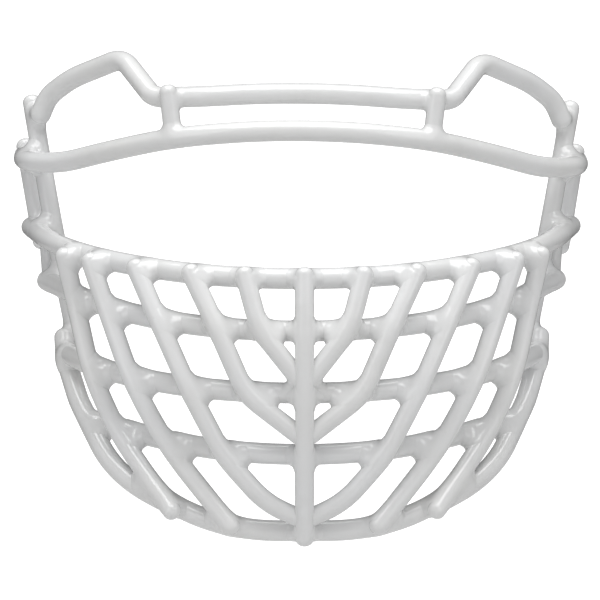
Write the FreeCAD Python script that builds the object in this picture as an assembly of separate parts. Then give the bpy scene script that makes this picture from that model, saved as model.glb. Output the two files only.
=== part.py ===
"""Welded wire face guard of a football helmet, one solid for each bent wire.

Millimetres. X runs across the face, Y from front to back, Z up. The origin is the middle of the
brow wire, where the guard hangs from the front of the helmet. Every wire is drawn at its coated
diameter. A wire is a row of straight runs and tangent arcs, swept by a circle. Upright wires are
laid in front of the cross wires and side wires behind them, and each is notched round the wires
that it is welded to.
"""
import FreeCAD, Part

import math
import os
from FreeCAD import Vector

# Wires: steel plus the coat on both sides
COAT = 0.75
HEAVY_WIRE = 6.35 + 2 * COAT
LIGHT_WIRE = 5.6 + 2 * COAT
STRUT_WIRE = 5.3 + 2 * COAT
TIP_ROUNDING = 0.85

# How far one wire is pressed into the other where they are welded
WELD_SINK = 0.9

# A bend may use this share of the run on either side of it
BEND_SHARE = 0.47

# The brow wires sit this much off level across the face
BROW_SLOPE = math.tan(math.radians(0.7))

# Cross wires that are bent flat: depth and height of the middle, rise towards the back,
# front bend radius and angle, side bend radius and angle, half of the length along the wire
FLAT_WIRES = {
    "eye_bar": (-31.0, -69.6, 11.3, 85, 35, 130, 76, 163.5),
    "nose_bar": (-33.0, -89.0, 11.5, 75, 40, 130, 66, 150),
    "mouth_bar": (-30.0, -112.0, 10.2, 75, 40, 130, 70, 132),
    "lower_bar": (-23.0, -134.9, 12.2, 65, 40, 170, 70, 100),
}

# Cross wires with free corners: right half, from the middle outwards
BROW_WIRE = [(14, 0, 0), (40, 5.5, -1.5), (56.2, 12.5, -1.6),
             (68.2, 33.5, 13.9), (88, 54, 6.6), (97.2, 63.5, 0), (101.6, 66.9, -10)]
LOWER_BROW_BAR = [(16, -7, -14.2), (48, 2.5, -16.8), (72, 22, -21.5),
                  (92.5, 45, -26.3), (106.7, 63.5, -25), (107.3, 84, -22.3)]
JAW_WIRE = [(28, -13, -163.6), (70.5, 9.3, -144.3), (85.3, 38.5, -115.5), (90.4, 53, -100), (91.3, 58.5, -88.5)]

# Widest bend radius at each corner of the brow wire and of the jaw wire but its tip
BROW_BENDS = [400, 400, 9, 14, 60, 14]
JAW_BENDS = [60, 60, 60, 60]

# Uprights in front: distance along each cross wire from its middle, where the upright crosses it
UPRIGHTS = {
    1: [("eye_bar", 104), ("nose_bar", 103.5), ("mouth_bar", 91.5), ("lower_bar", 77), ("jaw_wire", 55)],
    2: [("eye_bar", 87.5), ("nose_bar", 81), ("mouth_bar", 67), ("lower_bar", 50.5), ("jaw_wire", 26.5)],
    3: [("eye_bar", 64), ("nose_bar", 54), ("mouth_bar", 41), ("lower_bar", 27.5)],
    4: [("eye_bar", 40.5), ("nose_bar", 30.5), ("mouth_bar", 19.5)],
    5: [("eye_bar", 20.5), ("nose_bar", 15)],
}
# Uprights 3 to 5 end on the centre upright: distance down it from its middle
MEETINGS = {3: 43.5, 4: 11.5, 5: -9}
# Where an upright bends once more before it meets the centre upright (X, Z)
LAST_BENDS = {3: [(14, -152.5)]}
# Widest bend radius of each upright
UPRIGHT_BENDS = {1: 200, 2: 200, 3: 60, 4: 30, 5: 30}
CENTRE_UPRIGHT = [("eye_bar", 0), ("nose_bar", 0), ("mouth_bar", 0), ("lower_bar", 0), ("jaw_wire", 0)]
# How far the uprights run on past their first and last crossings; upright 1 crosses at a slant
TOP_OVERHANG = 3.6
FOOT_OVERHANG = 3.4
SLANTED_FOOT_OVERHANG = 10.5

# Side uprights behind: crossings, and how far the wire runs on above and below them
SIDE_UPRIGHT = [("lower_brow_bar", 138.5), ("eye_bar", 149.5), ("nose_bar", 145.5)]
SIDE_TOP = 25.0
SIDE_FOOT = 27.0

# Short side wires that the helmet's side clips take hold of: top and bottom of each
UPPER_CLIP = [(107.3, 88.5, -16), (99.7, 76.3, -58.5)]
LOWER_CLIP = [(98, 72.8, -46), (95.9, 67.4, -74)]

# Struts between the brow wires: top in front of the brow wire, foot on the lower brow bar
STRUT = [(50.9, 4.3, 3), (48.5, 5.5, -18)]


def bent(corners, widest_bends=None):
    """Straight runs between corners, with a tangent arc at each corner."""
    corners = [Vector(*corner) for corner in corners]
    widest_bends = widest_bends or [400] * len(corners)
    edges = []
    run_start = corners[0]
    for before, corner, after, widest in zip(corners, corners[1:], corners[2:], widest_bends):
        back = before - corner
        ahead = after - corner
        half_turn = (math.pi - back.getAngle(ahead)) / 2
        reach = min(BEND_SHARE * min(back.Length, ahead.Length), widest * math.tan(half_turn))
        radius = reach / math.tan(half_turn)
        back.normalize()
        ahead.normalize()
        inward = (back + ahead).normalize()
        arc_start = corner + back * reach
        arc_end = corner + ahead * reach
        arc_middle = corner + inward * (radius / math.cos(half_turn) - radius)
        edges.append(Part.LineSegment(run_start, arc_start).toShape())
        edges.append(Part.Arc(arc_start, arc_middle, arc_end).toShape())
        run_start = arc_end
    edges.append(Part.LineSegment(run_start, corners[-1]).toShape())
    return edges


def eased(corners, widest_bends=None):
    """Corners moved outwards until the middle of each bend lies where its corner was."""
    moved = [corners[0]]
    widest_bends = widest_bends or [400] * len(corners)
    for before, corner, after, widest in zip(corners, corners[1:], corners[2:], widest_bends):
        back = before - corner
        ahead = after - corner
        half_turn = (math.pi - back.getAngle(ahead)) / 2
        reach = min(BEND_SHARE * min(back.Length, ahead.Length), widest * math.tan(half_turn))
        inward = (back.normalize() + ahead.normalize()).normalize()
        moved.append(corner - inward * (reach * math.tan(half_turn / 2)))
    moved.append(corners[-1])
    return moved


def bent_flat(depth, height, rise, front_radius, front_turn, side_radius, side_turn, half_length):
    """Cross wire bent in one plane: a front arc, a wider arc on either side and straight ends."""
    rise = math.radians(rise)
    front_turn = math.radians(front_turn)
    side_turn = math.radians(side_turn)
    front_length = front_radius * front_turn
    side_length = side_radius * (side_turn - front_turn)

    def at(along):
        reach = abs(along)
        turn = min(reach, front_length) / front_radius
        across = front_radius * math.sin(turn)
        back = front_radius * (1 - math.cos(turn))
        if reach > front_length:
            turn = front_turn + min(reach - front_length, side_length) / side_radius
            across += side_radius * (math.sin(turn) - math.sin(front_turn))
            back += side_radius * (math.cos(front_turn) - math.cos(turn))
        straight = max(reach - front_length - side_length, 0)
        across += straight * math.cos(turn)
        back += straight * math.sin(turn)
        return Vector(math.copysign(across, along), depth + back * math.cos(rise), height + back * math.sin(rise))

    arc_end = min(front_length + side_length, half_length)
    middle = (front_length + arc_end) / 2
    edges = [
        Part.Arc(at(-arc_end), at(-middle), at(-front_length)).toShape(),
        Part.Arc(at(-front_length), at(0), at(front_length)).toShape(),
        Part.Arc(at(front_length), at(middle), at(arc_end)).toShape(),
    ]
    if half_length > arc_end:
        edges.insert(0, Part.LineSegment(at(-half_length), at(-arc_end)).toShape())
        edges.append(Part.LineSegment(at(arc_end), at(half_length)).toShape())
    return edges


def across_face(corners, slope=0.0):
    """Corners of a whole cross wire from those of its right half, put off level by a slope."""
    whole = [(-x, y, z) for x, y, z in reversed(corners)] + corners
    return [(x, y, z - x * slope) for x, y, z in whole]


def place_on(edges, along):
    """Point and direction on a wire at a distance along it from its middle."""
    left = along + sum(edge.Length for edge in edges) / 2
    for edge in edges:
        if left <= edge.Length or edge is edges[-1]:
            spot = edge.getParameterByLength(min(left, edge.Length))
            return edge.valueAt(spot), edge.tangentAt(spot)
        left -= edge.Length


def laid_over(crossings, crossed, diameter, side, top, foot):
    """Corners of a wire laid over others: side 1 is in front of them, side -1 behind them."""
    places = [place_on(crossed[name], along) for name, along in crossings]
    corners = []
    for index, (point, direction) in enumerate(places):
        above = places[max(index - 1, 0)][0]
        below = places[min(index + 1, len(places) - 1)][0]
        away = (below - above).cross(direction).normalize()
        stand_off = (HEAVY_WIRE + diameter) / 2 - WELD_SINK
        corners.append(point + away * (side * stand_off))
    corners[0] = corners[0] + (corners[0] - corners[1]).normalize() * top
    if foot:
        corners[-1] = corners[-1] + (corners[-1] - corners[-2]).normalize() * foot
    return corners


def mirrored(corners, side):
    """Corners on the right, or on the left when side is -1."""
    return [(side * x, y, z) for x, y, z in corners]


def tube(edges, diameter):
    """Solid round wire along its edges, with both tips rounded."""
    start = edges[0].valueAt(edges[0].FirstParameter)
    heading = edges[0].tangentAt(edges[0].FirstParameter)
    section = Part.Wire(Part.makeCircle(diameter / 2, start, heading))
    solid = Part.Wire(edges).makePipeShell([section], True, False)
    ends = [face for face in solid.Faces if isinstance(face.Surface, Part.Plane)]
    rims = [edge for face in ends for edge in face.Edges]
    return solid.makeFillet(TIP_ROUNDING * diameter / 2, rims)


def notched(wire, others):
    """The wire with the others taken out of it, keeping its one long piece."""
    near = [other for other in others if other.BoundBox.intersect(wire.BoundBox)]
    if not near:
        return wire
    pieces = wire.cut(near).Solids
    return max(pieces, key=lambda piece: piece.Volume)


def build_paths():
    """Edges and diameter of every wire, in the order in which they are welded."""
    paths = {}
    brow_bends = BROW_BENDS[::-1] + BROW_BENDS
    paths["brow_wire"] = (bent(across_face(BROW_WIRE, BROW_SLOPE), brow_bends), HEAVY_WIRE)
    paths["lower_brow_bar"] = (bent(across_face(LOWER_BROW_BAR, BROW_SLOPE)), HEAVY_WIRE)
    paths["jaw_wire"] = (bent(across_face(JAW_WIRE), JAW_BENDS[::-1] + JAW_BENDS), HEAVY_WIRE)
    for name, sizes in FLAT_WIRES.items():
        paths[name] = (bent_flat(*sizes), HEAVY_WIRE)
    edges = {name: path[0] for name, path in paths.items()}
    for side, hand in ((-1, "left"), (1, "right")):
        crossings = [(name, side * along) for name, along in SIDE_UPRIGHT]
        corners = laid_over(crossings, edges, LIGHT_WIRE, -1, SIDE_TOP, SIDE_FOOT)
        paths["side_upright_" + hand] = (bent(eased(corners)), LIGHT_WIRE)
        slope = BROW_SLOPE * side
        upper = [(x, y, z - x * slope) for x, y, z in UPPER_CLIP]
        paths["clip_wire_upper_" + hand] = (bent(mirrored(upper, side)), LIGHT_WIRE)
        paths["clip_wire_lower_" + hand] = (bent(mirrored(LOWER_CLIP, side)), LIGHT_WIRE)
    centre = bent(eased(laid_over(CENTRE_UPRIGHT, edges, LIGHT_WIRE, 1, TOP_OVERHANG, FOOT_OVERHANG)))
    paths["centre_upright"] = (centre, LIGHT_WIRE)
    for number, right_crossings in UPRIGHTS.items():
        for side, hand in ((-1, "left"), (1, "right")):
            crossings = [(name, side * along) for name, along in right_crossings]
            foot = {1: SLANTED_FOOT_OVERHANG, 2: FOOT_OVERHANG}.get(number, 0)
            corners = laid_over(crossings, edges, LIGHT_WIRE, 1, TOP_OVERHANG, foot)
            if number in MEETINGS:
                meeting = place_on(centre, MEETINGS[number])[0]
                for x, z in LAST_BENDS.get(number, []):
                    share = x / abs(corners[-1].x)
                    corners.append(Vector(side * x, meeting.y + share * (corners[-1].y - meeting.y), z))
                corners.append(meeting)
            bends = [UPRIGHT_BENDS[number]] * len(corners)
            paths["upright_%d_%s" % (number, hand)] = (bent(eased(corners, bends), bends), LIGHT_WIRE)
    for side, hand in ((-1, "left"), (1, "right")):
        strut = [(x, y, z - x * BROW_SLOPE * side) for x, y, z in STRUT]
        paths["strut_" + hand] = (bent(mirrored(strut, side)), STRUT_WIRE)
    return paths


def build_wires():
    """Every wire as a solid, each notched round the ones laid before it."""
    solids = {}
    for name, (edges, diameter) in build_paths().items():
        solids[name] = notched(tube(edges, diameter), list(solids.values()))
    return solids


os.makedirs("parts", exist_ok=True)
for name, solid in build_wires().items():
    solid.exportStep("parts/%s.step" % name)
    print(name, round(solid.Volume), len(solid.Solids), solid.isValid())
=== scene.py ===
import math

import bpy
from mathutils import Euler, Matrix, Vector
from mathutils.kdtree import KDTree


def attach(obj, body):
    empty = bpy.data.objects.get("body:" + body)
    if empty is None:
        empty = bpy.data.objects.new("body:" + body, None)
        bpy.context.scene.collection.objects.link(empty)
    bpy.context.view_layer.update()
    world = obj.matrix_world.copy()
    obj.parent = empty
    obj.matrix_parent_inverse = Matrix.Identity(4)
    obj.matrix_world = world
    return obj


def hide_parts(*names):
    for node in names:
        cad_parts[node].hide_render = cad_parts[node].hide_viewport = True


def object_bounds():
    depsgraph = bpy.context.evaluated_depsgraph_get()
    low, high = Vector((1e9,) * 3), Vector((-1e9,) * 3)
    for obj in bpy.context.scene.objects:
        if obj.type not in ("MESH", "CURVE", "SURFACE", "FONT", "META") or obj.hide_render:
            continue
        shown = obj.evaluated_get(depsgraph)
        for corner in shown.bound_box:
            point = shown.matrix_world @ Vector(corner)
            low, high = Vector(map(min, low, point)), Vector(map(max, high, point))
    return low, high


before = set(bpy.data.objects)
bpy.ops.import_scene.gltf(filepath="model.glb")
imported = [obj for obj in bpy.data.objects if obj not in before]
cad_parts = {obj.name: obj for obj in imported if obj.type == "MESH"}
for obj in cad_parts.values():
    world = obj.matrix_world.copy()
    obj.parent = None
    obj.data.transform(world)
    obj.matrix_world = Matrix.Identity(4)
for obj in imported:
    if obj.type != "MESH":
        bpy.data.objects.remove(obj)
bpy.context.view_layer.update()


# ---------------------------------------------------------------------------------------------
# Brow wire. A steel wire that hangs the guard from the front of the helmet, with a raised bend
# at each temple. It is bent cold, welded to its neighbours and dipped in white polymer, so that
# wire and coat read as one smooth round bar. Later wires are made the same way.
# ---------------------------------------------------------------------------------------------
MM = 0.001
COAT_THICKNESS = 0.75
HEAVY_WIRE = (6.35 + 2 * COAT_THICKNESS) * MM
TIP_ROUNDING = 0.85
TIP_STEPS = 9
BEND_SHARE = 0.47
BEND_STEP = math.radians(2.5)
WIDEST_BEND = 400
LONGEST_STEP = 1.6 * MM
SIDES_OF_A_WIRE = 48
BROW_SLOPE = math.tan(math.radians(0.7))
BROW_BENDS = [WIDEST_BEND, WIDEST_BEND, 9, 14, 60, 14]
BROW_WIRE = [(14, 0, 0), (40, 5.5, -1.5), (56.2, 12.5, -1.6),
             (68.2, 33.5, 13.9), (88, 54, 6.6), (97.2, 63.5, 0), (101.6, 66.9, -10)]


class Shade:
    """A shader socket that takes part in arithmetic."""

    def __init__(self, tree, socket):
        self.tree = tree
        self.socket = socket

    def math(self, operation, other, swapped=False):
        values = [other, self] if swapped else [self, other]
        return self.tree.add("ShaderNodeMath", {"operation": operation}, values)

    def __add__(self, other):
        return self.math("ADD", other)

    def __radd__(self, other):
        return self.math("ADD", other, True)

    def __mul__(self, other):
        return self.math("MULTIPLY", other)

    def __rmul__(self, other):
        return self.math("MULTIPLY", other, True)


class CoatTree:
    """Node tree of a finish, to which nodes are added by type, settings and socket values."""

    def __init__(self, material):
        material.use_nodes = True
        self.nodes = material.node_tree.nodes
        self.links = material.node_tree.links
        self.nodes.clear()

    def add(self, kind, settings=None, values=(), output=0):
        node = self.nodes.new(kind)
        for name, setting in (settings or {}).items():
            setattr(node, name, setting)
        pairs = values.items() if isinstance(values, dict) else enumerate(values)
        for key, value in pairs:
            if isinstance(value, Shade):
                self.links.new(value.socket, node.inputs[key])
            else:
                node.inputs[key].default_value = value
        return Shade(self, node.outputs[output]) if node.outputs else None


def white_dip_coat():
    """Glossy white dipped polymer: orange peel, slow sags, faint yellowing and rubbed patches."""
    material = bpy.data.materials.new("white_dip_coat")
    tree = CoatTree(material)
    place = tree.add("ShaderNodeTexCoord", output="Object")

    def clouds(scale, detail, roughness=0.5):
        return tree.add("ShaderNodeTexNoise", {"noise_dimensions": "3D"},
                        {"Vector": place, "Scale": scale, "Detail": detail, "Roughness": roughness})

    def between(shade, low, high):
        return tree.add("ShaderNodeMapRange", {"clamp": True},
                        {"Value": shade, "From Min": low, "From Max": high})

    peel = clouds(420.0, 2.0)
    sags = clouds(70.0, 2.0)
    rubbed = between(clouds(55.0, 5.0, 0.65), 0.52, 0.72)
    aged = between(clouds(18.0, 2.0), 0.35, 0.75)
    cells = tree.add("ShaderNodeTexVoronoi", {"feature": "F1"}, {"Vector": place, "Scale": 160.0})
    specks = between(cells, 0.10, 0.04)
    fresh_to_aged = tree.add("ShaderNodeMix", {"data_type": "RGBA"},
                             {0: aged, 6: (0.800, 0.805, 0.810, 1),
                              7: (0.785, 0.785, 0.775, 1)}, output=2)
    dust = rubbed * 0.30 + specks * 0.12
    colour = tree.add("ShaderNodeMix", {"data_type": "RGBA"},
                      {0: dust, 6: fresh_to_aged, 7: (0.66, 0.66, 0.65, 1)}, output=2)
    gloss = 0.13 + rubbed * 0.12 + peel * 0.05
    relief = peel * 0.35 + sags * 2.2 + specks * 0.25
    bump = tree.add("ShaderNodeBump", {}, {"Strength": 0.5, "Distance": 0.00025, "Height": relief})
    surface = tree.add("ShaderNodeBsdfPrincipled", {},
                       {"Base Color": colour, "Roughness": gloss, "Normal": bump, "IOR": 1.5,
                        "Coat Weight": 0.6, "Coat Roughness": 0.07})
    tree.add("ShaderNodeOutputMaterial", {}, {"Surface": surface})
    return material


def bent(corners, widest_bends=None):
    """Points along straight runs between corners, with a tangent arc at each corner."""
    points = [corners[0]]
    widest_bends = widest_bends or [WIDEST_BEND] * len(corners)
    for before, corner, after, widest in zip(corners, corners[1:], corners[2:], widest_bends):
        back = before - corner
        ahead = after - corner
        half_turn = (math.pi - back.angle(ahead)) / 2
        reach = min(BEND_SHARE * min(back.length, ahead.length), widest * MM * math.tan(half_turn))
        radius = reach / math.tan(half_turn)
        inward = (back.normalized() + ahead.normalized()).normalized()
        centre = corner + inward * (radius / math.cos(half_turn))
        out = -inward
        along = (ahead.normalized() - back.normalized()).normalized()
        steps = max(4, math.ceil(2 * half_turn / BEND_STEP))
        for step in range(steps + 1):
            turn = half_turn * (2 * step / steps - 1)
            points.append(centre + (out * math.cos(turn) + along * math.sin(turn)) * radius)
    points.append(corners[-1])
    return points


def evenly(points):
    """The points with extra ones wherever two are far apart."""
    spaced = [points[0]]
    for start, end in zip(points, points[1:]):
        steps = max(1, math.ceil((end - start).length / LONGEST_STEP))
        spaced += [start.lerp(end, step / steps) for step in range(1, steps + 1)]
    return spaced


def distances(points):
    """Distance along the path of each of its points."""
    run = [0.0]
    for start, end in zip(points, points[1:]):
        run.append(run[-1] + (end - start).length)
    return run


def at_distance(points, run, distance):
    """Point and direction of a path at a distance from its first point."""
    for index in range(len(run) - 1):
        if distance <= run[index + 1] or index == len(run) - 2:
            share = (distance - run[index]) / (run[index + 1] - run[index])
            step = points[index + 1] - points[index]
            return points[index] + step * share, step.normalized()


def wire_tree():
    """Geometry nodes that turn a path into a round wire, as thick at each point as its swell."""
    tree = bpy.data.node_groups.new("dipped_wire", "GeometryNodeTree")
    for name, kind in (("Path", "NodeSocketGeometry"), ("Radius", "NodeSocketFloat"),
                       ("Sides", "NodeSocketInt"), ("Coat", "NodeSocketMaterial")):
        tree.interface.new_socket(name, in_out="INPUT", socket_type=kind)
    tree.interface.new_socket("Wire", in_out="OUTPUT", socket_type="NodeSocketGeometry")
    nodes = tree.nodes
    link = tree.links.new
    start = nodes.new("NodeGroupInput")
    curve = nodes.new("GeometryNodeMeshToCurve")
    swell = nodes.new("GeometryNodeInputNamedAttribute")
    swell.data_type = "FLOAT"
    swell.inputs["Name"].default_value = "swell"
    scaled = nodes.new("ShaderNodeMath")
    scaled.operation = "MULTIPLY"
    ring = nodes.new("GeometryNodeCurvePrimitiveCircle")
    ring.inputs["Radius"].default_value = 1.0
    sweep = nodes.new("GeometryNodeCurveToMesh")
    sweep.inputs["Fill Caps"].default_value = True
    smooth = nodes.new("GeometryNodeSetShadeSmooth")
    real = nodes.new("GeometryNodeRealizeInstances")
    coat = nodes.new("GeometryNodeSetMaterial")
    end = nodes.new("NodeGroupOutput")
    link(start.outputs["Path"], curve.inputs[0])
    link(swell.outputs[0], scaled.inputs[0])
    link(start.outputs["Radius"], scaled.inputs[1])
    link(start.outputs["Sides"], ring.inputs["Resolution"])
    link(curve.outputs[0], sweep.inputs["Curve"])
    link(scaled.outputs[0], sweep.inputs["Scale"])
    link(ring.outputs[0], sweep.inputs["Profile Curve"])
    link(sweep.outputs[0], smooth.inputs[0])
    link(smooth.outputs[0], real.inputs[0])
    link(real.outputs[0], coat.inputs[0])
    link(start.outputs["Coat"], coat.inputs["Material"])
    link(coat.outputs[0], end.inputs[0])
    return tree


def grown(name, path_mesh, tree, sizes):
    """Plain mesh object that a node tree makes from a path, with the tree's inputs set by name."""
    seed = bpy.data.objects.new(name + "_path", path_mesh)
    bpy.context.collection.objects.link(seed)
    modifier = seed.modifiers.new("grow", "NODES")
    modifier.node_group = tree
    for item in tree.interface.items_tree:
        if item.in_out == "INPUT" and item.name in sizes:
            modifier[item.identifier] = sizes[item.name]
    graph = bpy.context.evaluated_depsgraph_get()
    mesh = bpy.data.meshes.new_from_object(seed.evaluated_get(graph))
    seed.modifiers.remove(modifier)
    bpy.data.objects.remove(seed)
    mesh.name = name
    return mesh


def placed(name, mesh):
    """Object made from a mesh that carries its own place, riding on the guard's one body."""
    piece = bpy.data.objects.new(name, mesh)
    bpy.context.collection.objects.link(piece)
    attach(piece, "root")
    return piece


coat = white_dip_coat()
wire_nodes = wire_tree()
wires = {}


def lay_wire(node, points, diameter):
    """The coated wire that stands for a CAD node, along points, with both tips rounded."""
    points = evenly(points)
    run = distances(points)
    wires[node] = {"points": points, "run": run, "radius": diameter / 2}
    tip = TIP_ROUNDING * diameter / 2
    length = run[-1]
    near_tip = [tip * (1 - math.cos(math.pi / 2 * step / TIP_STEPS)) for step in range(TIP_STEPS)]
    inner = [distance for distance in run if tip < distance < length - tip]
    far_tip = [length - distance for distance in reversed(near_tip)]
    places = near_tip + [tip] + inner + [length - tip] + far_tip
    path = bpy.data.meshes.new(node + "_path")
    spots = [at_distance(points, run, distance)[0] for distance in places]
    path.from_pydata(spots, [(index, index + 1) for index in range(len(spots) - 1)], [])
    swell = path.attributes.new("swell", "FLOAT", "POINT")
    for value, distance in zip(swell.data, places):
        from_tip = min(distance, length - distance, tip) / tip
        value.value = 1 - TIP_ROUNDING + TIP_ROUNDING * math.sqrt(max(0.0, 1 - (1 - from_tip) ** 2))
    sizes = {"Radius": diameter / 2, "Sides": SIDES_OF_A_WIRE, "Coat": coat}
    piece = placed("coated_" + node, grown("coated_" + node, path, wire_nodes, sizes))
    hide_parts(node)


def from_mm(corners, side=1, slope=0.0):
    """Corners in metres, mirrored when side is -1 and put off level across the face by a slope."""
    return [Vector((side * x, y, z - side * x * slope)) * MM for x, y, z in corners]


def across_face(corners, slope=0.0):
    """Corners of a whole cross wire from those of its right half."""
    return from_mm(list(reversed(corners)), -1, slope) + from_mm(corners, 1, slope)


brow_corners = across_face(BROW_WIRE, BROW_SLOPE)
lay_wire("brow_wire", bent(brow_corners, BROW_BENDS[::-1] + BROW_BENDS), HEAVY_WIRE)


# ---------------------------------------------------------------------------------------------
# Lower brow bar. The same heavy wire, bent wider than the brow wire and a little ahead of it.
# It dips towards both ears and turns up slightly before its tips, where the clip wires hold on.
# ---------------------------------------------------------------------------------------------
LOWER_BROW_BAR = [(16, -7, -14.2), (48, 2.5, -16.8), (72, 22, -21.5),
                  (92.5, 45, -26.3), (106.7, 63.5, -25), (107.3, 84, -22.3)]

lay_wire("lower_brow_bar", bent(across_face(LOWER_BROW_BAR, BROW_SLOPE)), HEAVY_WIRE)


# ---------------------------------------------------------------------------------------------
# Jaw wire. One heavy wire bent as a U that runs under the chin and up both sides of the jaw, to
# end in front of the side uprights' feet, where it is welded to them.
# ---------------------------------------------------------------------------------------------
JAW_BENDS = [60, 60, 60, 60]
JAW_WIRE = [(28, -13, -163.6), (70.5, 9.3, -144.3), (85.3, 38.5, -115.5),
            (90.4, 53, -100), (91.3, 58.5, -88.5)]

lay_wire("jaw_wire", bent(across_face(JAW_WIRE), JAW_BENDS[::-1] + JAW_BENDS), HEAVY_WIRE)


# ---------------------------------------------------------------------------------------------
# Eye, nose, mouth and lower bars. Heavy cross wires, each bent flat on a former to a tight front
# arc, a wider arc on either side and straight ends, then set so that it rises towards the back.
# ---------------------------------------------------------------------------------------------
FLAT_STEP = 1.2 * MM
FLAT_WIRES = {
    "eye_bar": (-31.0, -69.6, 11.3, 85, 35, 130, 76, 163.5),
    "nose_bar": (-33.0, -89.0, 11.5, 75, 40, 130, 66, 150),
    "mouth_bar": (-30.0, -112.0, 10.2, 75, 40, 130, 70, 132),
    "lower_bar": (-23.0, -134.9, 12.2, 65, 40, 170, 70, 100),
}


def bent_flat(depth, height, rise, front_radius, front_turn, side_radius, side_turn, half_length):
    """Points of a cross wire bent in one plane; lengths in millimetres and angles in degrees."""
    rise, front_turn, side_turn = (math.radians(angle) for angle in (rise, front_turn, side_turn))
    front_length = front_radius * front_turn
    side_length = side_radius * (side_turn - front_turn)
    steps = math.ceil(half_length * MM / FLAT_STEP)
    points = []
    for step in range(-steps, steps + 1):
        along = half_length * step / steps
        reach = abs(along)
        turn = min(reach, front_length) / front_radius
        across = front_radius * math.sin(turn)
        back = front_radius * (1 - math.cos(turn))
        if reach > front_length:
            turn = front_turn + min(reach - front_length, side_length) / side_radius
            across += side_radius * (math.sin(turn) - math.sin(front_turn))
            back += side_radius * (math.cos(front_turn) - math.cos(turn))
        straight = max(reach - front_length - side_length, 0)
        across = math.copysign(across + straight * math.cos(turn), along)
        back += straight * math.sin(turn)
        place = Vector((across, depth + back * math.cos(rise), height + back * math.sin(rise)))
        points.append(place * MM)
    return points


for node, sizes in FLAT_WIRES.items():
    lay_wire(node, bent_flat(*sizes), HEAVY_WIRE)


# ---------------------------------------------------------------------------------------------
# Side uprights. Lighter wires laid behind the tips of the lower brow, eye and nose bars, one on
# each side. The brow wire's tips lap in front of their tops. Their feet lap behind the jaw wire.
# ---------------------------------------------------------------------------------------------
LIGHT_WIRE = (5.6 + 2 * COAT_THICKNESS) * MM
WELD_SINK = 0.9 * MM
SIDE_UPRIGHT = [("lower_brow_bar", 138.5), ("eye_bar", 149.5), ("nose_bar", 145.5)]
SIDE_TOP = 25 * MM
SIDE_FOOT = 27 * MM


def eased(corners, widest_bends=None):
    """Corners moved outwards until the middle of each bend lies where its corner was."""
    moved = [corners[0]]
    widest_bends = widest_bends or [WIDEST_BEND] * len(corners)
    for before, corner, after, widest in zip(corners, corners[1:], corners[2:], widest_bends):
        back = before - corner
        ahead = after - corner
        half_turn = (math.pi - back.angle(ahead)) / 2
        reach = min(BEND_SHARE * min(back.length, ahead.length), widest * MM * math.tan(half_turn))
        inward = (back.normalized() + ahead.normalized()).normalized()
        moved.append(corner - inward * (reach * math.tan(half_turn / 2)))
    moved.append(corners[-1])
    return moved


def laid_over(crossings, side, top, foot, hand=1):
    """Corners of a light wire laid over others: side 1 is in front of them, side -1 behind them."""
    places = []
    for node, along in crossings:
        wire = wires[node]
        distance = wire["run"][-1] / 2 + hand * along * MM
        places.append(at_distance(wire["points"], wire["run"], distance))
    corners = []
    for index, (point, direction) in enumerate(places):
        above = places[max(index - 1, 0)][0]
        below = places[min(index + 1, len(places) - 1)][0]
        away = (below - above).cross(direction).normalized()
        stand_off = (HEAVY_WIRE + LIGHT_WIRE) / 2 - WELD_SINK
        corners.append(point + away * (side * stand_off))
    corners[0] = corners[0] + (corners[0] - corners[1]).normalized() * top
    corners[-1] = corners[-1] + (corners[-1] - corners[-2]).normalized() * foot
    return corners


HANDS = ((-1, "left"), (1, "right"))
for hand, word in HANDS:
    corners = laid_over(SIDE_UPRIGHT, -1, SIDE_TOP, SIDE_FOOT, hand)
    lay_wire("side_upright_" + word, bent(eased(corners)), LIGHT_WIRE)


# ---------------------------------------------------------------------------------------------
# Clip wires. Two short straight pieces of light wire on each side, welded behind the tips of the
# bars. The helmet's side clips pass through the windows beside them and snap round them.
# ---------------------------------------------------------------------------------------------
UPPER_CLIP = [(107.3, 88.5, -16), (99.7, 76.3, -58.5)]
LOWER_CLIP = [(98, 72.8, -46), (95.9, 67.4, -74)]

for hand, word in HANDS:
    lay_wire("clip_wire_upper_" + word, from_mm(UPPER_CLIP, hand, BROW_SLOPE), LIGHT_WIRE)
    lay_wire("clip_wire_lower_" + word, from_mm(LOWER_CLIP, hand), LIGHT_WIRE)


# ---------------------------------------------------------------------------------------------
# Centre upright. A light wire down the middle of the face, laid in front of the cross wires from
# the top of the eye bar to just below the jaw wire.
# ---------------------------------------------------------------------------------------------
CENTRE_UPRIGHT = [("eye_bar", 0), ("nose_bar", 0), ("mouth_bar", 0), ("lower_bar", 0),
                  ("jaw_wire", 0)]
TOP_OVERHANG = 3.6 * MM
FOOT_OVERHANG = 3.4 * MM

centre_corners = laid_over(CENTRE_UPRIGHT, 1, TOP_OVERHANG, FOOT_OVERHANG)
lay_wire("centre_upright", bent(eased(centre_corners)), LIGHT_WIRE)


# ---------------------------------------------------------------------------------------------
# Uprights 1 to 5, counted from the outside in, alike on both sides. All start on the eye bar. The
# two outer ones cross down to the jaw wire; the other three bend in and end on the centre upright.
# ---------------------------------------------------------------------------------------------
SLANTED_FOOT_OVERHANG = 10.5 * MM
UPRIGHTS = {
    1: [("eye_bar", 104), ("nose_bar", 103.5), ("mouth_bar", 91.5), ("lower_bar", 77),
        ("jaw_wire", 55)],
    2: [("eye_bar", 87.5), ("nose_bar", 81), ("mouth_bar", 67), ("lower_bar", 50.5),
        ("jaw_wire", 26.5)],
    3: [("eye_bar", 64), ("nose_bar", 54), ("mouth_bar", 41), ("lower_bar", 27.5)],
    4: [("eye_bar", 40.5), ("nose_bar", 30.5), ("mouth_bar", 19.5)],
    5: [("eye_bar", 20.5), ("nose_bar", 15)],
}
FEET = {1: SLANTED_FOOT_OVERHANG, 2: FOOT_OVERHANG}
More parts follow.
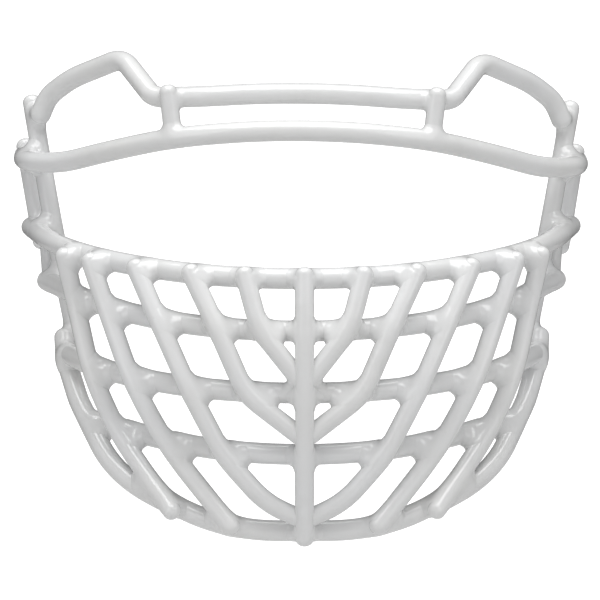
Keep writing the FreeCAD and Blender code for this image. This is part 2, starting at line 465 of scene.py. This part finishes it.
MEETINGS = {3: 43.5, 4: 11.5, 5: -9}
MEETING_SET_BACK = 1.7 * MM
LAST_BENDS = {3: [(14, -152.5)]}
UPRIGHT_BENDS = {1: 200, 2: 200, 3: 60, 4: 30, 5: 30}

for number, crossings in UPRIGHTS.items():
    for hand, word in HANDS:
        corners = laid_over(crossings, 1, TOP_OVERHANG, FEET.get(number, 0), hand)
        if number in MEETINGS:
            centre = wires["centre_upright"]
            half = centre["run"][-1] / 2
            meeting = at_distance(centre["points"], centre["run"], half + MEETINGS[number] * MM)[0]
            meeting = meeting + Vector((0, MEETING_SET_BACK, 0))
            for x, z in LAST_BENDS.get(number, []):
                share = x * MM / abs(corners[-1].x)
                depth = meeting.y + share * (corners[-1].y - meeting.y)
                corners.append(Vector((hand * x * MM, depth, z * MM)))
            corners.append(meeting)
        bends = [UPRIGHT_BENDS[number]] * len(corners)
        lay_wire("upright_%d_%s" % (number, word), bent(eased(corners, bends), bends), LIGHT_WIRE)


# ---------------------------------------------------------------------------------------------
# Struts. Two short wires between the brow wire and the lower brow bar. Their tops lap over the
# front of the brow wire and their feet stand on the lower brow bar.
# ---------------------------------------------------------------------------------------------
STRUT_WIRE = (5.3 + 2 * COAT_THICKNESS) * MM
STRUT = [(50.9, 4.3, 3), (48.5, 5.5, -18)]

for hand, word in HANDS:
    lay_wire("strut_" + word, from_mm(STRUT, hand, BROW_SLOPE), STRUT_WIRE)


# ---------------------------------------------------------------------------------------------
# Coat at the welds. Where two wires touch, the dipped polymer draws together in the crease and
# sets as a smooth web. Each web is the blended skin of two short stretches of wire, a hair proud
# of them at the crease and sunk into them at its rim. Where front uprights end on the centre
# upright, and where the third ones pass the jaw wire, the crease stays open.
# ---------------------------------------------------------------------------------------------
TOUCH_SLACK = 0.35 * MM
CROSSING_BLEND = 6.2 * MM
BUTT_BLEND = 3.0 * MM
WEB_VOXEL = 0.46 * MM
WEB_REACH = 10.0 * MM
WEB_LONGEST_REACH = 17.0 * MM
WEB_PROUD = 0.03 * MM
WEB_RIM_SINK = 1.1 * MM
WEB_STRETCH_MARGIN = 5 * MM
WEB_RIM_START = 0.6
LEAST_SLANT = 0.35
SLANT_DRAW = 0.7
TOUCH_WINDOW = 8
NEXT_TOUCH = 12
SKIN_STEEPNESS = 1000.0
OUTSIDE_THE_SKIN = -5.0


def web_tree():
    """Geometry nodes that grow the blended skin round two stretches of wire."""
    tree = bpy.data.node_groups.new("coat_web", "GeometryNodeTree")
    for name, kind in (("Paths", "NodeSocketGeometry"), ("First Radius", "NodeSocketFloat"),
                       ("Second Radius", "NodeSocketFloat"), ("Blend", "NodeSocketFloat"),
                       ("Centre", "NodeSocketVector"), ("Reach", "NodeSocketFloat"),
                       ("Proud", "NodeSocketFloat"), ("Rim Sink", "NodeSocketFloat"),
                       ("Low", "NodeSocketVector"), ("High", "NodeSocketVector"),
                       ("Voxels", "NodeSocketInt"), ("Coat", "NodeSocketMaterial")):
        tree.interface.new_socket(name, in_out="INPUT", socket_type=kind)
    tree.interface.new_socket("Web", in_out="OUTPUT", socket_type="NodeSocketGeometry")
    nodes = tree.nodes
    link = tree.links.new
    start = nodes.new("NodeGroupInput").outputs

    def sum_up(operation, *values, kind="ShaderNodeMath", output=0):
        node = nodes.new(kind)
        node.operation = operation
        for socket, value in zip(node.inputs, values):
            if hasattr(value, "is_output"):
                link(value, socket)
            else:
                socket.default_value = value
        return node.outputs[output]

    second = nodes.new("GeometryNodeInputNamedAttribute")
    second.data_type = "BOOLEAN"
    second.inputs["Name"].default_value = "second"
    split = nodes.new("GeometryNodeSeparateGeometry")
    link(start["Paths"], split.inputs["Geometry"])
    link(second.outputs[0], split.inputs["Selection"])
    skins = []
    for path, radius in ((split.outputs["Inverted"], start["First Radius"]),
                         (split.outputs["Selection"], start["Second Radius"])):
        near = nodes.new("GeometryNodeProximity")
        near.target_element = "EDGES"
        link(path, near.inputs[0])
        skins.append(sum_up("SUBTRACT", near.outputs["Distance"], radius))
    apart = sum_up("ABSOLUTE", sum_up("SUBTRACT", skins[0], skins[1]))
    within = sum_up("MAXIMUM", sum_up("SUBTRACT", start["Blend"], apart), 0.0)
    closeness = sum_up("DIVIDE", within, start["Blend"])
    deepest = sum_up("DIVIDE", start["Blend"], 4.0)
    fill = sum_up("MULTIPLY", sum_up("MULTIPLY", closeness, closeness), deepest)
    skin = sum_up("SUBTRACT", sum_up("MINIMUM", skins[0], skins[1]), fill)
    position = nodes.new("GeometryNodeInputPosition").outputs[0]
    away = sum_up("DISTANCE", position, start["Centre"],
                  kind="ShaderNodeVectorMath", output="Value")
    rim = nodes.new("ShaderNodeMapRange")
    rim.interpolation_type = "SMOOTHSTEP"
    link(away, rim.inputs["Value"])
    link(sum_up("MULTIPLY", start["Reach"], WEB_RIM_START), rim.inputs["From Min"])
    link(start["Reach"], rim.inputs["From Max"])
    link(sum_up("MULTIPLY", start["Proud"], -1.0), rim.inputs["To Min"])
    link(start["Rim Sink"], rim.inputs["To Max"])
    sunk = sum_up("ADD", skin, rim.outputs["Result"])
    kept = sum_up("MAXIMUM", sunk, sum_up("SUBTRACT", away, start["Reach"]))
    cube = nodes.new("GeometryNodeVolumeCube")
    link(sum_up("MULTIPLY", kept, -SKIN_STEEPNESS), cube.inputs["Density"])
    cube.inputs["Background"].default_value = OUTSIDE_THE_SKIN
    link(start["Low"], cube.inputs["Min"])
    link(start["High"], cube.inputs["Max"])
    for axis in "XYZ":
        link(start["Voxels"], cube.inputs["Resolution " + axis])
    skin_mesh = nodes.new("GeometryNodeVolumeToMesh")
    skin_mesh.inputs["Threshold"].default_value = 0.0
    link(cube.outputs[0], skin_mesh.inputs[0])
    smooth = nodes.new("GeometryNodeSetShadeSmooth")
    real = nodes.new("GeometryNodeRealizeInstances")
    dress = nodes.new("GeometryNodeSetMaterial")
    end = nodes.new("NodeGroupOutput")
    link(skin_mesh.outputs[0], smooth.inputs[0])
    link(smooth.outputs[0], real.inputs[0])
    link(real.outputs[0], dress.inputs[0])
    link(start["Coat"], dress.inputs["Material"])
    link(dress.outputs[0], end.inputs[0])
    return tree


def touches(first, second):
    """Places where two wires are closest and touch: point number, nearest spot, its number."""
    reach = first["radius"] + second["radius"] + TOUCH_SLACK
    near = KDTree(len(second["points"]))
    for index, point in enumerate(second["points"]):
        near.insert(point, index)
    near.balance()
    gaps = [near.find(point) for point in first["points"]]
    found = []
    for index, (spot, other, gap) in enumerate(gaps):
        window = gaps[max(0, index - TOUCH_WINDOW):index + TOUCH_WINDOW + 1]
        closest = min(distance for _, _, distance in window)
        if gap < reach and gap <= closest and not (found and index - found[-1][0] < NEXT_TOUCH):
            found.append((index, spot, other))
    return found


def stretch(wire, centre, reach):
    """Points of a wire near a place, cut short of the wire's own tips by its radius."""
    radius = wire["radius"]
    last = wire["run"][-1] - radius
    return [point for point, distance in zip(wire["points"], wire["run"])
            if (point - centre).length < reach and radius <= distance <= last]


def heading(wire, index):
    """Direction of a wire at one of its points, from the point before to the point after."""
    points = wire["points"]
    return points[min(index + 1, len(points) - 1)] - points[max(index - 1, 0)]


def web_mesh(name, first, second, index, spot, other, blend):
    """Mesh of the coat web where two wires touch."""
    start = first["points"][index]
    centre = (start + spot) / 2
    slant = max(LEAST_SLANT, math.sin(heading(first, index).angle(heading(second, other))))
    reach = min(WEB_REACH / slant ** SLANT_DRAW, WEB_LONGEST_REACH)
    paths = [stretch(wire, centre, reach + WEB_STRETCH_MARGIN + wire["radius"])
             for wire in (first, second)]
    if min(len(path) for path in paths) < 2:
        return None
    path = bpy.data.meshes.new(name)
    count = len(paths[0])
    edges = [(step, step + 1) for step in range(count - 1)]
    edges += [(count + step, count + step + 1) for step in range(len(paths[1]) - 1)]
    path.from_pydata(paths[0] + paths[1], edges, [])
    flags = path.attributes.new("second", "BOOLEAN", "POINT")
    flags.data.foreach_set("value", [False] * count + [True] * len(paths[1]))
    half = Vector((1, 1, 1)) * (reach + 2 * WEB_VOXEL)
    sizes = {"First Radius": first["radius"], "Second Radius": second["radius"], "Blend": blend,
             "Centre": centre, "Reach": reach, "Proud": WEB_PROUD, "Rim Sink": WEB_RIM_SINK,
             "Low": centre - half, "High": centre + half,
             "Voxels": math.ceil(2 * half.x / WEB_VOXEL), "Coat": coat}
    return grown(name, path, web_nodes, sizes)


def joined(name, meshes):
    """One mesh from several, each keeping its own closed skin."""
    points, faces = [], []
    for mesh in meshes:
        first = len(points)
        points += [vertex.co.copy() for vertex in mesh.vertices]
        faces += [[first + corner for corner in face.vertices] for face in mesh.polygons]
    whole = bpy.data.meshes.new(name)
    whole.from_pydata(points, [], faces)
    whole.polygons.foreach_set("use_smooth", [True] * len(whole.polygons))
    whole.materials.append(coat)
    return whole


web_nodes = web_tree()
names = list(wires)
for position, node in enumerate(names):
    webs = []
    for later in names[position + 1:]:
        blend = BUTT_BLEND
        if node in FLAT_WIRES or node == "jaw_wire" or later.startswith("side_upright"):
            blend = CROSSING_BLEND
        if "upright" in node and later.startswith("upright_"):
            continue
        if node == "jaw_wire" and later.startswith("upright_3"):
            continue
        for index, spot, other in touches(wires[node], wires[later]):
            web = web_mesh("web", wires[node], wires[later], index, spot, other, blend)
            if web and len(web.polygons):
                webs.append(web)
    if webs:
        placed("coat_webs_on_" + node, joined("coat_webs_on_" + node, webs))


# ---------------------------------------------------------------------------------------------
# Studio. A pale floor well under the guard, a white surround, a large soft light above and ahead,
# a weaker fill on each side, and a camera on a long lens level with the guard's middle.
# ---------------------------------------------------------------------------------------------
FLOOR_DROP = 0.12
FLOOR_SIZE = 3.0
BACKDROP_REACH = 0.12
BACKDROP_GLOW = 1.2
ROOM_AHEAD = 0.42
ROOM_BEHIND = 0.10
TOP_POWER = 24.0
FILL_POWER = 3.5
BACKDROP_FADE = 1.5
ROOM_SPAN = (-0.1, 0.75)
TOP_PLACE = (0, -0.5, 1.3)
TOP_SIZE = 1.6
FILL_PLACE = (1.6, -1.6, 0.4)
FILL_WIDTH = 0.9
FILL_HEIGHT = 1.4
CAMERA_PLACE = (-0.0274, -2.533, -0.0778)
CAMERA_LENS = 405.0
CAMERA_AIM = 0.591
CAMERA_TILT = 0.007
CAMERA_ROLL = 0.15


def plain_finish(name, colour, roughness):
    """Matt paint for the studio."""
    material = bpy.data.materials.new(name)
    tree = CoatTree(material)
    surface = tree.add("ShaderNodeBsdfPrincipled", {},
                       {"Base Color": colour, "Roughness": roughness})
    tree.add("ShaderNodeOutputMaterial", {}, {"Surface": surface})
    return material


low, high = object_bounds()
ground = low[2] - FLOOR_DROP
half = FLOOR_SIZE / 2
floor_mesh = bpy.data.meshes.new("floor")
floor_corners = [(-half, -half, ground), (half, -half, ground),
                 (half, half, ground), (-half, half, ground)]
floor_mesh.from_pydata(floor_corners, [], [(0, 1, 2, 3)])
floor_mesh.materials.append(plain_finish("floor_paint", (0.70, 0.70, 0.70, 1), 0.9))
floor = bpy.data.objects.new("floor", floor_mesh)
bpy.context.collection.objects.link(floor)

world = bpy.data.worlds.new("surround")
surround = CoatTree(world)
direction = surround.add("ShaderNodeTexCoord", output="Generated")
depth = surround.add("ShaderNodeSeparateXYZ", {}, {"Vector": direction}, output="Y")
behind = surround.add("ShaderNodeVectorMath", {"operation": "DISTANCE"},
                      {0: direction, 1: (0, 1, 0)}, output="Value")
backdrop = surround.add("ShaderNodeMapRange", {"interpolation_type": "SMOOTHSTEP"},
                        {"Value": behind, "From Min": BACKDROP_REACH,
                         "From Max": BACKDROP_FADE * BACKDROP_REACH, "To Min": 1.0, "To Max": 0.0})
level = surround.add("ShaderNodeMapRange", {"interpolation_type": "SMOOTHSTEP"},
                     {"Value": depth, "From Min": ROOM_SPAN[0], "From Max": ROOM_SPAN[1],
                      "To Min": ROOM_AHEAD, "To Max": ROOM_BEHIND})
glow = surround.add("ShaderNodeBackground", {},
                    {"Color": (1, 1, 1, 1), "Strength": level + backdrop * BACKDROP_GLOW})
surround.add("ShaderNodeOutputWorld", {}, {"Surface": glow})
bpy.context.scene.world = world


def softbox(name, place, target, width, height, power):
    """Rectangular soft light aimed at a point."""
    lamp = bpy.data.lights.new(name, "AREA")
    lamp.shape = "RECTANGLE"
    lamp.size = width
    lamp.size_y = height
    lamp.energy = power
    light = bpy.data.objects.new(name, lamp)
    light.location = place
    light.rotation_euler = (Vector(target) - Vector(place)).to_track_quat("-Z", "Y").to_euler()
    bpy.context.collection.objects.link(light)


middle = (0, 0.02, -0.08)
softbox("top_light", TOP_PLACE, (*TOP_PLACE[:2], 0), TOP_SIZE, TOP_SIZE, TOP_POWER)
for hand, word in HANDS:
    place = (hand * FILL_PLACE[0], *FILL_PLACE[1:])
    softbox(word + "_fill", place, middle, FILL_WIDTH, FILL_HEIGHT, FILL_POWER)

lens = bpy.data.cameras.new("camera")
lens.lens = CAMERA_LENS
lens.sensor_width = 36.0
lens.clip_start = 0.1
lens.clip_end = 20.0
camera = bpy.data.objects.new("camera", lens)
camera.location = CAMERA_PLACE
camera.rotation_euler = Euler((math.radians(90 + CAMERA_TILT), math.radians(CAMERA_ROLL),
                               math.radians(-CAMERA_AIM)), "XYZ")
bpy.context.collection.objects.link(camera)
bpy.context.scene.camera = camera
bpy.context.scene.view_settings.view_transform = "Standard"
